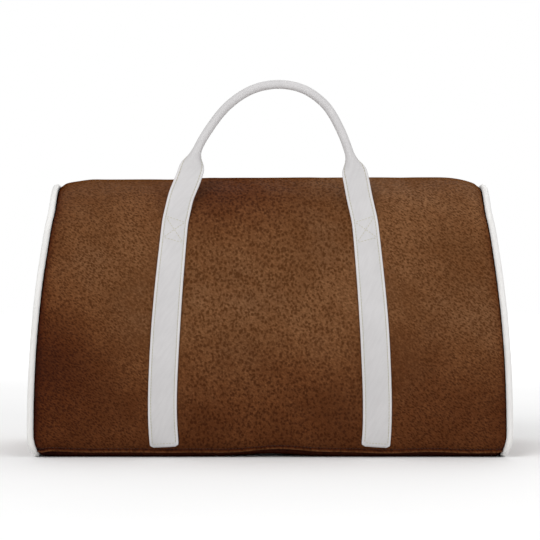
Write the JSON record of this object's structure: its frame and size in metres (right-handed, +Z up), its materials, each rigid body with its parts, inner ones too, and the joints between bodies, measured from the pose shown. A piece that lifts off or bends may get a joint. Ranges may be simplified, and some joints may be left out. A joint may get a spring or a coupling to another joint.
{
  "type": "duffel bag",
  "caption": "Soft-sided weekender duffel bag with two rolled carry handles, sewn straps, corded end seams and a zip along the top.",
  "frame": {"origin": "middle of the underside, on the surface the bag stands on", "axes": "+X along the bag, -Y out of the front side, +Z up"},
  "size_m": [0.5348, 0.2502, 0.4202],
  "materials": {
    "brown_leather": "satin",
    "strap_leather": "satin",
    "piping_leather": "satin",
    "tab_leather": "satin",
    "filler_cord": "matte",
    "lining_cloth": "matte",
    "board_plastic": "matte",
    "zip_cloth": "matte",
    "zip_metal": "satin"
  },
  "bodies": {
    "bag": {"front_panel": "brown_leather", "back_panel": "brown_leather", "base_panel": "brown_leather", "left_end_panel": "brown_leather", "right_end_panel": "brown_leather", "front_left_strap": "strap_leather", "front_right_strap": "strap_leather", "back_left_strap": "strap_leather", "back_right_strap": "strap_leather", "left_piping": "piping_leather", "right_piping": "piping_leather", "left_zip_tab": "tab_leather", "right_zip_tab": "tab_leather", "left_piping_cord": "filler_cord", "right_piping_cord": "filler_cord", "base_lining": "lining_cloth", "front_lining": "lining_cloth", "back_lining": "lining_cloth", "left_end_lining": "lining_cloth", "right_end_lining": "lining_cloth", "base_board": "board_plastic", "front_zip_tape": "zip_cloth", "back_zip_tape": "zip_cloth", "front_zip_teeth": "zip_metal", "back_zip_teeth": "zip_metal", "zip_top_stops": "zip_metal", "zip_bottom_stop": "zip_metal"},
    "front_handle": {"front_handle": "strap_leather", "front_grip_cord": "filler_cord"},
    "back_handle": {"back_handle": "strap_leather", "back_grip_cord": "filler_cord"},
    "zip_slider": {"zip_slider": "zip_metal"},
    "zip_pull": {"zip_pull": "zip_metal"}
  },
  "joints": [
    {"name": "front_handle_fold", "type": "hinge", "parent": "bag", "child": "front_handle", "pos_m": [0, -0.10345, 0.27], "axis": [1, 0, 0], "range_deg": [-8, 178]},
    {"name": "back_handle_fold", "type": "hinge", "parent": "bag", "child": "back_handle", "pos_m": [0, 0.10345, 0.27], "axis": [1, 0, 0], "range_deg": [0, 178]},
    {"name": "zip_travel", "type": "slide", "parent": "bag", "child": "zip_slider", "axis": [-1, 0, 0], "range_m": [0, 0.396]},
    {"name": "zip_pull_swing", "type": "hinge", "parent": "zip_slider", "child": "zip_pull", "pos_m": [0.198, 0, 0.31225], "axis": [0, 1, 0], "range_deg": [0, 180]}
  ]
}
